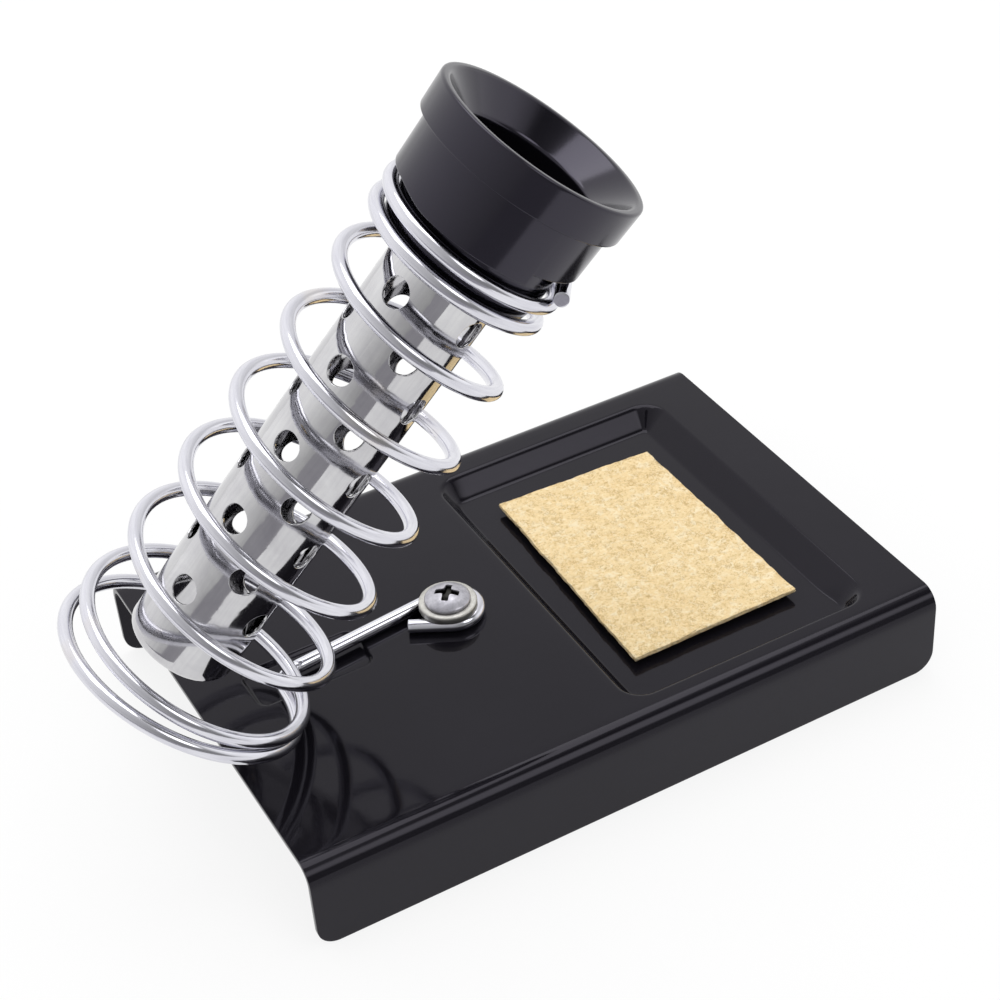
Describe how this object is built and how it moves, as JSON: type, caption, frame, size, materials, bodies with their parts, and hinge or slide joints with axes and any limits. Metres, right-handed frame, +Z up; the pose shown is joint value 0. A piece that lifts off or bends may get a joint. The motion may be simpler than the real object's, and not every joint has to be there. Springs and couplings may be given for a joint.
{
  "type": "soldering iron stand",
  "caption": "Soldering iron stand: a leaning wire coil with a perforated heat tube and cup, clamped to a folded steel base with a sponge tray.",
  "frame": {"origin": "centre of the rectangle that the base stands on, on the table", "axes": "+X along the base towards the sponge tray, +Y to the back, +Z up"},
  "size_m": [0.1496, 0.089, 0.1322],
  "materials": {
    "black_paint": "gloss",
    "plated_steel": "satin",
    "bright_wire": "polished",
    "black_plastic": "semi-gloss",
    "tube_steel": "bright, lightly streaked",
    "sponge_cellulose": "dry, pitted"
  },
  "bodies": {
    "base": {"base_plate": "black_paint", "clamp_screw": "plated_steel", "top_washer": "plated_steel", "under_washer": "plated_steel", "spring_washer": "plated_steel", "hex_nut": "plated_steel"},
    "coil": {"coil_wire": "bright_wire"},
    "holder": {"holder_cup": "black_plastic", "heat_tube": "tube_steel"},
    "loose_sponge": {"sponge": "sponge_cellulose"}
  },
  "joints": [
    {"name": "coil_sway", "type": "hinge", "parent": "base", "child": "coil", "pos_m": [-0.04459, 0.00096, 0.01935], "axis": [0.994, 0.1097, 0], "range_deg": [-3, 3], "stiffness_Nm_per_rad": 0.45, "deforming": ["coil_wire"]},
    {"name": "holder_nod", "type": "hinge", "parent": "coil", "child": "holder", "pos_m": [-0.04833, -0.00439, 0.05692], "axis": [0.1035, 0.9861, 0.1303], "range_deg": [-5, 6], "stiffness_Nm_per_rad": 0.48, "deforming": ["coil_wire"]},
    {"name": "sponge_lift", "type": "slide", "parent": "base", "child": "loose_sponge", "axis": [0, 0, 1], "range_m": [0, 0.025]}
  ]
}
